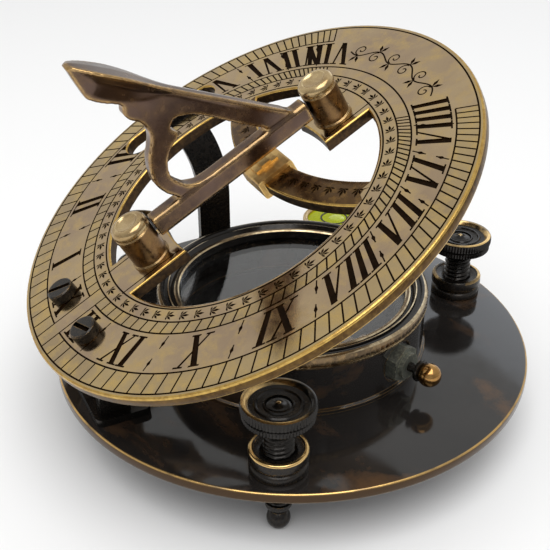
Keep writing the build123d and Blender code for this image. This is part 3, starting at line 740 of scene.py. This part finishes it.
def stamp_marks():
    """The band of small palmettes, those on the web, the tabs' rules and the far gap's ornament."""
    marks = []
    for i in range(STAMP_COUNT):
        degrees = 360 * (i + 0.5) / STAMP_COUNT - 90
        marks += palmette(polar(STAMP_R, degrees), math.radians(degrees + 90), 0.94)
    for i in WEB_STAMPS:
        if abs(i) > 1:
            degrees = WEB_STAMP_STEP * i - 90
            x, y = polar((WEB_R_FAR + WEB_R_NEAR) / 2, degrees)
            marks += palmette((x, y + WEB_CENTRE_Y), math.radians(degrees))
    for x in (-TAB_RULE_X, TAB_RULE_X):
        for y in (TAB_SOUTH_Y - 1, TAB_NORTH_Y + 1):
            marks.append(stroke((x, y), (x * 0.98, math.copysign(CIRCLE_INNER, y)), RULE_W))
    return marks + vine_marks()


def curl(centre, facing, turns, size, hand):
    """Spiral tendril that winds in to its centre."""
    count = 26
    shares = [i / count for i in range(count + 1)]
    return ribbon([centre + direction(facing + hand * 2 * math.pi * turns * t) * size * (1 - 0.82 * t)
                   for t in shares], RULE_W)


def vine_marks():
    """Leafy scroll that fills the far gap: a wavy stem with a tendril and two leaves on each half wave."""
    radius, swing, start, end, halves = 41.0, 1.0, 68.5, 111.5, 6
    count = 96
    stem = []
    for i in range(count + 1):
        t = i / count
        stem.append(Vector(polar(radius + swing * math.sin(math.pi * halves * t), start + (end - start) * t)))
    marks = [ribbon(stem, LINE_W)]
    for k in range(halves):
        p = stem[round(count * (k + 0.5) / halves)]
        hand = 1 if k % 2 == 0 else -1
        away = math.atan2(p.y, p.x) + (0 if hand > 0 else math.pi)
        marks.append(curl(p - direction(away) * 1.75, away, turns=1.2, size=1.55, hand=hand))
        marks += [kite(p, away + turn, length=2.3, width=0.8, widest=0.5) for turn in (-0.5, 0.5)]
    return marks


def face_paint(p):
    """Material number of the unmarked face: the web, the golden scale bands and rim, or the rest."""
    if p.length < OPEN_R and WEB_R_NEAR < (p - Vector((0, WEB_CENTRE_Y))).length < WEB_R_FAR:
        return WEB
    within_hours = abs(degrees_of(p) - 90) >= 90 - degrees_of(ray_point(1, LAST_HOUR, CIRCLE_OUTER))
    on_scale = CIRCLE_SCALE_IN < p.length < CIRCLE_NUMERAL_IN or p.length > CIRCLE_NUMERAL_OUT
    return BAND if p.length > CIRCLE_OUTER or within_hours and on_scale else FACE


def ring_face(shape, holes, marks):
    """The engraved face: flat brass with every mark sunk into it."""
    points, triangles = triangulate([full_circle(RING_R - RIM_BEVEL)] + holes + marks)
    hole_numbers = set(range(1, 1 + len(holes)))
    kinds = {tuple(t): max(inside) > len(holes) for t, inside in triangles
             if 0 in inside and not inside & hole_numbers}
    flat = [t for t, sunk in kinds.items() if not sunk]
    own = len(shape.paints)
    shape.add(at_height(points, 0), flat)
    shape.paints[own:] = [face_paint(sum((Vector(points[k]) for k in t), Vector((0, 0))) / 3) for t in flat]
    shape.add(at_height(points, -ENGRAVE_DEPTH), [t for t, sunk in kinds.items() if sunk], MARK)
    # The walls of the sunk marks take the bright edge brass: a painted highlight along each cut.
    sides = {}
    for triangle, sunk in kinds.items():
        for a, b in zip(triangle, triangle[1:] + triangle[:1]):
            sides.setdefault((min(a, b), max(a, b)), set()).add(sunk)
    for (a, b), found in sides.items():
        if len(found) == 2:
            ends = [points[a], points[b]]
            shape.face(at_height(ends, 0) + at_height(ends[::-1], -ENGRAVE_DEPTH), EDGE)


def dial_piece():
    outlines = [counter_clockwise(o) for o in (main_opening(), far_opening(), slot_loop())]
    face_holes = [offset(o, EDGE_BEVEL) for o in outlines]
    shape = Shape()
    ring_face(shape, face_holes, scale_marks() + stamp_marks())
    bottom, soft = -RING_T, 0.35 * EDGE_BEVEL
    for outline, hole in zip(outlines, face_holes):
        # The openings' bevels take the bright edge brass, a painted highlight; the walls below take the wall
        # brass.
        levels = ((hole, 0, EDGE), (offset(outline, soft), -soft, EDGE), (outline, -EDGE_BEVEL, WALL),
                  (outline, bottom, WALL))
        for (upper, z_upper, paint), (lower, z_lower, _) in zip(levels, levels[1:]):
            shape.strip(at_height(upper, z_upper), at_height(lower, z_lower), paint)
    # The rim's top and under bevels take the bright edge brass, a painted highlight.
    rim = [(RING_R - RIM_BEVEL, 0, EDGE), (RING_R - 0.16, -0.16, EDGE), (RING_R, -RIM_BEVEL, SIDE),
           (RING_R, bottom + UNDER_BEVEL, EDGE), (RING_R - 0.12, bottom + 0.12, EDGE),
           (RING_R - UNDER_BEVEL, bottom, EDGE)]
    shape.merge(turned(rim, 240))
    points, under = with_holes(full_circle(RING_R - UNDER_BEVEL), outlines)
    shape.add(at_height(points, bottom), under, SIDE)
    build("dial_ring_engraved", shape, RING, "dial", DIAL_MATERIALS, ["dial_ring"], weld=1e-3)


# ======== gnomon
def style_outline():
    lower = smooth_curve([(-13.8, 34.5), (-12.2, 32.4), (-9.5, 29.7), (-10.1, 28.2), (-9.7, 26.4),
                          (-8.3, 24.4), (-8.5, 21.2), (-11.4, 17.4), (-12.8, 13.4), (-12.2, 10.0),
                          (-10.2, 7.0)])
    return [STYLE_TIP, (-13.75, 38.0)] + lower + [(-10.2, BAR_Z), (STYLE_ROOT[0] + 1.0, BAR_Z), STYLE_ROOT]


def style_window():
    return smooth_curve([(11.4, 7.0), (6.2, 12.9), (1.2, 18.9), (-2.6, 21.2), (-4.6, 20.2), (-3.9, 18.2),
                         (-7.4, 16.3), (-9.5, 12.6), (-8.6, 9.4), (-6.6, 7.7), (-3.2, 7.2), (4.0, 7.0)])


def slab(outline, hole, half):
    """Flat plate in the meridian plane from its profile, x from -half to half."""
    shape = Shape()
    points, solid = with_holes(outline, [hole])
    for x in (-half, half):
        shape.add([(x, y, z) for y, z in points], solid)
    for loop in (outline, hole):
        shape.strip([(-half, y, z) for y, z in loop], [(half, y, z) for y, z in loop])
    return shape


def broken_bar(half_x, half_z, y0, y1, z):
    """Square bar along y with broken corners."""
    c = 0.5
    right = [(half_x - c, -half_z), (half_x, c - half_z), (half_x, half_z - c), (half_x - c, half_z)]
    section = right + [(-x, dz) for x, dz in right[::-1]]
    shape = Shape()
    ends = [[(x, y, z + dz) for x, dz in section] for y in (y0, y1)]
    shape.strip(*ends)
    for end in ends:
        shape.face(end)
    return shape


def leaf_at(distance):
    """Half width and rise of the style's top: it swells to its widest, then eases off to the blade."""
    if distance < LEAF_WIDEST_AT:
        swell = math.sin(math.pi / 2 * (distance / LEAF_WIDEST_AT) ** 0.55)
        return LEAF_TIP_HALF + (LEAF_HALF - LEAF_TIP_HALF) * swell, LEAF_RISE * (0.35 + 0.65 * swell)
    ease = (1 + math.cos(math.pi * min(1.0, (distance - LEAF_WIDEST_AT) / LEAF_FADE))) / 2
    return BLADE_HALF + (LEAF_HALF - BLADE_HALF) * ease, LEAF_RISE * ease


def style_leaf():
    """Leaf-shaped top of the style, slightly crowned, flaring down into the blade."""
    tip, root = Vector((0, *STYLE_TIP)), Vector((0, *STYLE_ROOT))
    way = (root - tip).normalized()
    up = Vector((0, -way.z, way.y))
    shape = Shape()
    rings = []
    stations = 56
    for i in range(stations + 1):
        distance = LEAF_REACH * i / stations
        w, h = leaf_at(distance)
        flare = min(0.5 + 0.85 * distance, 1.3 + 0.95 * w)
        half = [(w, h - LEAF_EDGE), (w - LEAF_EDGE / 2, h), (0, h + LEAF_CROWN)]
        under = [(0.45 * w + 0.6, h - 0.38 * flare), (BLADE_NECK_HALF, h - flare)]
        section = half + [(-x, z) for x, z in half[1::-1]] + [(-x, z) for x, z in under] + under[::-1]
        rings.append([tuple(tip + way * distance + Vector((x, 0, 0)) + up * z) for x, z in section])
    for a, b in zip(rings, rings[1:]):
        shape.strip(a, b)
    shape.face(rings[0])
    shape.face(rings[-1])
    return shape


def cast(piece, voxel, rounds):
    """Fuses a piece's overlapping solids into one skin and softens its edges, as a casting is."""
    remesh = piece.modifiers.new("fuse", "REMESH")
    remesh.mode = "VOXEL"
    remesh.voxel_size = voxel * MM
    soften = piece.modifiers.new("soften", "SMOOTH")
    soften.factor = 0.5
    soften.iterations = rounds
    bpy.context.view_layer.update()
    baked = bpy.data.meshes.new_from_object(piece.evaluated_get(bpy.context.evaluated_depsgraph_get()))
    baked.polygons.foreach_set("use_smooth", [True] * len(baked.polygons))
    piece.modifiers.clear()
    piece.data = baked


def gnomon_piece():
    gap = POST_R + BAR_GAP
    shape = slab(style_outline(), style_window(), STYLE_HALF)
    shape.merge(broken_bar(*BAR_HALF, POST_Y["post_south"] + gap, POST_Y["post_north"] - gap, BAR_Z))
    shape.merge(style_leaf())
    piece = build("gnomon_style", shape, RING, "gnomon", [CAST_BRASS], ["gnomon"])
    cast(piece, voxel=0.3, rounds=3)


def post_piece(name):
    r, h = POST_R, POST_H
    profile = [(0, 0), (r + 0.25, 0), (r + 0.25, 0.35), (r, 0.6), (r, h - 2.3), (r - 0.2, h - 2.05),
               (r - 0.2, h - 1.8), (r + 0.05, h - 1.6, 1), (r + 0.05, h - 1.0, 1), (r - 0.15, h - 0.5, 1),
               (r - 0.55, h - 0.12, 1), (r - 0.95, h, 1), (r - 1.3, h, 1), (r - 1.55, h - 0.22, 1),
               (1.7, h - 0.4, 1), (0.9, h - 0.46, 1), (0, h - 0.48, 1)]
    place = RING @ Matrix.Translation((0, POST_Y[name], 0))
    build(f"{name}_turned", turned(profile, 64), place, "dial", [POST_BRASS, CAP_BRASS],
          [name])


def slotted_head(radius, height, slot_w, turn_deg):
    """Cheese head with a domed top and a slot cut across it."""
    crown, bevel = 0.3, 0.3
    top_r, half, floor_z = radius - bevel, slot_w / 2, height * 0.45

    def dome(x, y):
        return (x, y, height - crown * (x * x + y * y) / radius ** 2)

    slot = [(-radius, -half), (radius, -half), (radius, half), (-radius, half)]
    points, triangles = triangulate([full_circle(top_r, 48), slot])
    shape = Shape()
    shape.add([dome(x, y) for x, y in points], [t for t, inside in triangles if inside == {0}])
    shape.add(at_height(points, floor_z), [t for t, inside in triangles if inside == {0, 1}], 1)
    for y in (-half, half):
        x = math.sqrt(top_r ** 2 - y * y)
        shape.face([dome(-x, y), dome(x, y), (x, y, floor_z), (-x, y, floor_z)], 1)
    edge_z = dome(top_r, 0)[2]
    shape.merge(turned([(top_r, edge_z), (radius - 0.05, edge_z - 0.2), (radius, edge_z - 0.5),
                        (radius, 0.1), (radius - 0.1, 0)], 48))
    return shape.moved(Matrix.Rotation(math.radians(turn_deg), 4, "Z"))


def ring_screw_piece():
    shape = Shape()
    for side, turn in ((-1, 62.0), (1, 20.0)):
        head = slotted_head(radius=2.75, height=2.4, slot_w=0.9, turn_deg=turn)
        shape.merge(head.moved(Matrix.Translation((side * RING_SCREW[0], RING_SCREW[1], 0))))
    build("ring_screw_heads", shape, RING, "dial", [BLACK_MATT, ENGRAVED], ["ring_screws"])


# ======== base plate
def plate_piece():
    """Round plate with softened edges, open for the screw bosses and sunk for the box and level screws."""
    flat_r = PLATE_R - PLATE_EDGE
    shape = turned(circle_points(flat_r, PLATE_T - PLATE_EDGE, PLATE_EDGE, 90, 0, 22.5)
                   + circle_points(flat_r, PLATE_EDGE, PLATE_EDGE, 0, -90, 22.5), 300)
    bosses = [full_circle(BOSS_HOLE_R, 48, *centre_mm(f"screw_boss_{part}")) for part in PARTS]
    spots = [polar(BASE_SCREW_CIRCLE_R, a) for a in BASE_SCREW_ANGLES] + [centre_mm("level_cup")]
    wide, narrow = BASE_SCREW_SINK
    sinks = [full_circle(wide, 32, *spot) for spot in spots]
    for z, holes in ((PLATE_T, bosses), (0.0, bosses + sinks)):
        points, solid = with_holes(full_circle(flat_r, 300), holes)
        shape.add(at_height(points, z), solid)
    for loop in bosses:
        shape.strip(at_height(loop, PLATE_T), at_height(loop, 0))
    for loop, spot in zip(sinks, spots):
        shape.strip(at_height(loop, 0), at_height(full_circle(narrow, 32, *spot), narrow))
    build("base_plate_turned", shape, FROM_MM, "base", [PLATE], ["base_plate"], weld=1e-3)


# ======== levelling screws
def wheel_piece(part):
    z0, top, r = WHEEL_Z0, WHEEL_TOP, WHEEL_R
    mid = z0 + 1.75
    # The rim's top rounding (paint 1) takes the gold patches, partly worn brass and partly a painted
    # highlight on the rim.
    profile = [(2.5, z0), (r - 1.1, z0), (r - 0.5, z0 + 0.35), (r - 0.25, z0 + 0.55, 0, True),
               (r - 0.25, mid - 0.3, 0, True), (r - 0.7, mid - 0.05), (r - 0.7, mid + 0.1),
               (r, mid + 0.35, 0, True), (r, top - 0.4, 0, True), (r - 0.22, top - 0.1, 1), (r - 0.5, top, 1),
               (r - 0.85, top, 1), (r - 1.15, top - 0.2, 1), (r - 1.5, top - 0.75), (4.6, top - 0.85),
               (4.35, top - 0.6), (4.1, top - 0.6), (3.85, top - 0.95), (2.9, top - 1.05),
               (2.7, top - 0.8), (2.5, top - 0.8), (2.5, z0)]
    build_on(f"thumb_wheel_{part}", "knurled", turned(profile, 132, 0.22), f"screw_{part}",
             [BLACK_PLAIN, WORN_AND_GLINT_TOP], smooth_deg=30.0)


def thread(radius, depth, pitch, z0, z1):
    """Right-handed screw thread between two heights."""
    around, per_pitch = 28, 8
    count = round((z1 - z0) / pitch * per_pitch)
    rings = []
    for j in range(count + 1):
        z = z0 + (z1 - z0) * j / count
        phases = [(z / pitch - i / around) % 1.0 for i in range(around)]
        grooves = [depth * min(1.0, 2.6 * abs(phase - 0.5)) for phase in phases]
        rings.append([(*polar(radius - groove, 360 * i / around), z) for i, groove in enumerate(grooves)])
    shape = Shape()
    for a, b in zip(rings, rings[1:]):
        shape.strip(a, b)
    return shape


def spindle_piece(part):
    top, end = WHEEL_TOP, FOOT_TOP + 0.5
    thread_top = WHEEL_Z0 - 0.6
    shape = thread(radius=3.0, depth=0.42, pitch=1.0, z0=end, z1=thread_top)
    shape.merge(turned([(2.6, thread_top), (2.6, WHEEL_Z0), (2.45, WHEEL_Z0), (2.45, top - 1.15),
                        (2.3, top - 1.0), (1.7, top - 0.95), (0.9, top - 0.85), (0.45, top - 0.45, 1),
                        (0, top - 0.15)], 48))
    shape.merge(turned([(2.6, end), (2.4, end - 0.3), (0, end - 0.3)], 28))
    build_on(f"spindle_{part}", "threaded", shape, f"screw_{part}", [BLACK_PLAIN, CAP_BRASS], smooth_deg=50.0)


def boss_piece(part):
    t, r = PLATE_T, 5.65
    # The top rim (paint 1) takes the same gold patches, partly worn brass and partly a painted highlight.
    profile = [(3.05, 0.02), (4.35, 0.02), (4.35, t), (r - 0.35, t), (r - 0.1, t + 0.3), (r - 0.1, t + 1.2),
               (r - 0.3, t + 1.6), (r - 0.75, t + 1.85), (r - 0.75, t + 2.2), (r - 0.3, t + 2.45),
               (r, t + 2.8), (r, t + 4.35, 1), (r - 0.12, t + 4.66, 1), (r - 0.35, t + 4.8, 1),
               (r - 0.75, t + 4.78, 0), (r - 1.0, t + 4.45), (3.6, t + 4.4), (3.3, t + 4.2), (3.05, t + 4.0),
               (3.05, 0.02)]
    build_on(f"screw_boss_{part}", "turned", turned(profile, 72), "base", [BLACK_MATT, WORN_AND_GLINT_TOP])


def foot_piece(part):
    """Ball foot, flat where it stands, with a stepped neck."""
    top = FOOT_TOP
    ball_r, ball_z = 2.3, -10.2
    flat = math.degrees(math.asin((ball_z - FOOT_FLOOR) / ball_r))
    profile = [(0, FOOT_FLOOR)] + circle_points(0, ball_z, ball_r, -flat, 52, 12)
    profile += [(1.5, ball_z + 2.0), (1.75, ball_z + 2.2), (1.95, top - 2.0), (2.2, top - 1.5),
                (2.55, top - 1.1), (2.6, top - 0.8), (2.6, top - 0.1), (2.4, top), (0, top)]
    build_on(f"foot_{part}", "turned", turned(profile, 48), f"foot_{part}", [BLACK_MATT])


# ======== compass
def bezel_piece():
    """Milled ring with a worn milled edge; its bright lines, on the outer rim and between the dark grooves,
    are painted highlights.
    """
    r, bore, top, seat_r = 29.0, 24.2, 16.0, 25.7
    profile = [(seat_r, 12.0, 1), (26.75, 12.0, 1), (26.75, 13.2, 1), (r - 0.35, 13.2), (r - 0.05, 13.45),
               (r - 0.05, 13.7), (r - 0.3, 13.85), (r, 14.1, 0, True), (r, top - 0.7, 0, True),
               (r - 0.22, top - 0.3, 2), (r - 0.5, top - 0.08, 2), (r - 0.8, top, 1),
               (r - 1.4, top - 0.05, 1), (r - 1.65, top - 0.5, 1), (r - 2.2, top - 0.55, 1),
               (r - 2.4, top - 0.15, 2), (r - 2.62, top - 0.1, 1),
               (bore + 1.4, 14.85, 1), (bore + 1.2, 14.95), (bore + 1.1, 15.25, 2),
               (bore + 0.8, 15.4, 0), (bore + 0.3, 15.35, 2), (bore, 15.1, 1), (bore, 13.4, 1),
               (seat_r, 13.4, 1), (seat_r, 12.0, 1)]
    build_on("bezel", "milled", turned(profile, 300, 0.16), "base", [BEZEL_BRASS, BEZEL_DARK, BEZEL_LINE],
             30.0)


def knob_piece():
    """Ball knob with a dark collar, turned about an axis that points out from the compass box."""
    low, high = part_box("ball_knob")
    middle = (low + high) / 2
    ball_at, r, neck_r, collar_r = 35.9, 2.4, 1.35, 2.25
    back = ball_at - r
    profile = [(1.06, back - 0.25, 1), (collar_r - 0.15, back - 0.25, 1), (collar_r, back, 1),
               (collar_r, back + 0.4, 1), (2.0, back + 0.6, 1), (neck_r, back + 0.62), (neck_r, back + 0.35)]
    profile += circle_points(0, ball_at, r, -math.degrees(math.acos(neck_r / r)), 90, 9)
    outwards = Matrix.Rotation(math.atan2(middle.y, middle.x), 4, "Z") @ Matrix.Rotation(math.pi / 2, 4, "Y")
    place = Matrix.Translation((0, 0, middle.z)) @ outwards @ FROM_MM
    build("ball_knob_turned", turned(profile, 48), place, "lock", [AMBER, BLACK_PLAIN],
          ["ball_knob"])


def low_dome(radius, rise, z, angles):
    """Profile of a shallow dome, from its edge at height z to its middle."""
    return [(radius * math.cos(a), z + rise * math.sin(a)) for a in angles + (math.pi / 2,)]


def level_pieces():
    """Bull's-eye level: cup, domed liquid, printed circle and the bubble a little off its middle."""
    t, r, bore, floor_z = PLATE_T, 7.7, 6.5, PLATE_T + 3
    rim = t + 11.0
    cup = [(0, t), (r - 0.4, t), (r, t + 0.5), (r, t + 1.4), (r - 0.35, t + 1.7), (r - 0.35, rim - 1.7),
           (r - 0.05, rim - 1.4), (r, rim - 0.4, 1), (r - 0.25, rim - 0.06, 1), (r - 0.6, rim, 1),
           (bore + 0.2, rim - 0.1, 1), (bore, rim - 0.35), (bore, floor_z), (0, floor_z)]
    build_on("level_cup", "turned", turned(cup, 72), "base", [CLIP_BRASS, CAP_BRASS])
    place = at_node("level_cup")
    top = rim - 0.42
    dome = [(bore, floor_z), (bore, top - 0.35)] + low_dome(bore, 0.35, top - 0.35, (0.3, 0.6, 0.9, 1.2))
    build("level_fluid_dome", turned(dome, 72), place, "base", [FLUID],
          ["level_fluid", "level_window"])
    under, over = top - 0.02, top + 0.04
    line = [(3.0, under), (3.0, over), (3.4, over), (3.4, under), (3.0, under)]
    build("level_circle_print", turned(line, 64), place, "base", [PRINT])
    bubble = low_dome(1.95, 0.34, top - 0.08, (0, 0.35, 0.7, 1.05, 1.4))
    off_centre = place @ Matrix.Translation((0.35, 0.55, 0))
    build("level_bubble_dome", turned(bubble, 48), off_centre, "base", [BUBBLE],
          ["level_bubble"])


# ======== surroundings
FLOOR_GAP = 0.00005                  # under the feet, in metres
LIGHT_AIM = (0, 0, 0.02)
TOWARDS_BRIGHT_SIDE = (-0.9, 0.44, 0.25)


def stage():
    half = 2.5
    floor = bpy.data.meshes.new("floor")
    floor.from_pydata([(-half, -half, 0), (half, -half, 0), (half, half, 0), (-half, half, 0)], [],
                      [(0, 1, 2, 3)])
    material, tree, shader = new_material("floor_pale")
    feed(tree, shader, {"Base Color": (0.86, 0.86, 0.86, 1), "Roughness": 0.9, "Specular IOR Level": 0.1})
    floor.materials.append(material)
    plane = new_object("floor", floor)
    plane.location = (0, 0, cad_box[0][2] - FLOOR_GAP)


def aimed(name, data, at, target):
    """An object that looks from one place to another, in metres."""
    made = new_object(name, data)
    made.location = at
    made.rotation_euler = (Vector(target) - Vector(at)).to_track_quat("-Z", "Y").to_euler()
    return made


def area_light(name, at, size, watts, colour):
    data = bpy.data.lights.new(name, "AREA")
    data.shape = "RECTANGLE"
    data.size, data.size_y = size
    data.energy = watts
    data.color = colour
    aimed(name, data, at, LIGHT_AIM)


def light():
    """Soft overhead key, a cool window behind, and a pale room that is dimmer on the camera's side."""
    area_light("key", (0.26, -0.12, 0.74), (0.7, 0.7), 4.8, (1.0, 1.0, 1.0))
    area_light("window", (-0.50, 0.66, 0.38), (0.42, 0.36), 0.35, (0.80, 0.88, 1.0))
    world = bpy.data.worlds.new("studio")
    world.use_nodes = True
    tree = world.node_tree
    background = tree.nodes["Background"]
    way = node(tree, "ShaderNodeTexCoord").outputs["Generated"]
    away = node(tree, "ShaderNodeVectorMath", {0: way, 1: TOWARDS_BRIGHT_SIDE}, operation="DOT_PRODUCT")
    far_side = spread(tree, away.outputs["Value"], -0.7, 0.5)
    colour = mix(tree, far_side, (0.46, 0.46, 0.47, 1), (0.78, 0.78, 0.77, 1))
    tree.links.new(colour, background.inputs["Color"])
    bpy.context.scene.world = world
    bpy.context.scene.view_settings.view_transform = "Standard"


def camera():
    data = bpy.data.cameras.new("camera")
    data.sensor_width = 36.0
    data.lens = CAMERA_LENS
    data.clip_start = 0.01
    bpy.context.scene.camera = aimed("camera", data, Vector(CAMERA_AT) * MM, Vector(CAMERA_AIM) * MM)


# ======== CAD nodes that stay
NODE_FINISH = (
    (BLACK, ("compass_box",)),
    (BLACK_MATT, ("base_screws", "lock_plunger", "hinge_pin", "post_screws", "latitude_arc", "arc_bracket",
                  "arc_rivets", "arc_screws")),
    (BLACK_PLAIN, ("hinge_base", "hinge_screws")),
    (BEZEL_BRASS, ("seat_ring", "needle_pivot", "needle_cap", "lifter_lever", "lifter_stand")),
    (CLIP_BRASS, ("web_clip", "detent_spring")),
    (CAST_BRASS, ("hinge_arm",)),
    (CARD, ("compass_card",)),
    (STEEL, ("needle",)),
    (NUT, ("lock_bush",)),
    (GLASS, ("compass_glass",)),
)


def paint_nodes():
    for material, names in NODE_FINISH:
        for name in names:
            mesh = frame["nodes"][name].data
            mesh.materials.clear()
            mesh.materials.append(material)


paint_nodes()
plate_piece()
dial_piece()
gnomon_piece()
for post_name in POST_Y:
    post_piece(post_name)
ring_screw_piece()
for part_name in PARTS:
    wheel_piece(part_name)
    spindle_piece(part_name)
    boss_piece(part_name)
    foot_piece(part_name)
bezel_piece()
knob_piece()
level_pieces()
stage()
light()
camera()
